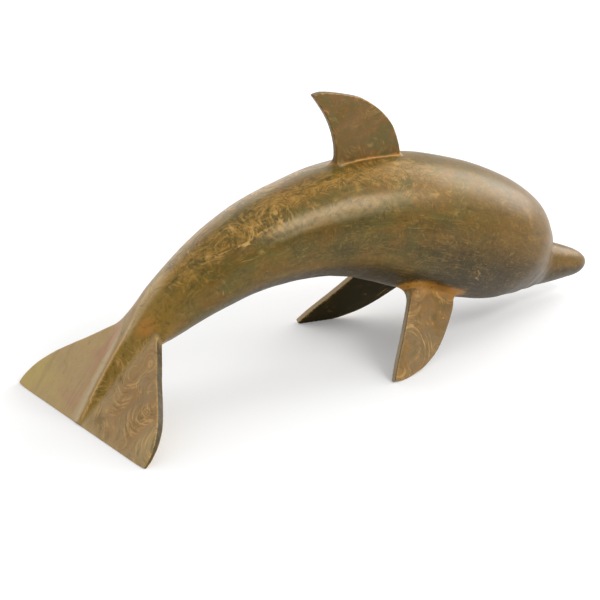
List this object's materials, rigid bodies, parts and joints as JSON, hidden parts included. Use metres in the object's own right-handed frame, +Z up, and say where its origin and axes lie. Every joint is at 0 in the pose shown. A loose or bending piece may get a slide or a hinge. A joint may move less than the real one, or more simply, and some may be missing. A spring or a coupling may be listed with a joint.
{
  "type": "dolphin figurine",
  "caption": "Leaping dolphin figurine, cast in one piece, that stands on its tail fluke and its two side fins, with a swirled brown and gold patina.",
  "frame": {"origin": "centre of the footprint, on the floor that the fluke and the two side fins rest on", "axes": "+X to the beak, +Y to the animal's left, +Z up"},
  "size_m": [0.4596, 0.1776, 0.217],
  "materials": {
    "patinated_brass": "satin lacquer over a swirled brown, olive and gold patina"
  },
  "bodies": {
    "root": {"dolphin": "patinated_brass"}
  },
  "joints": []
}
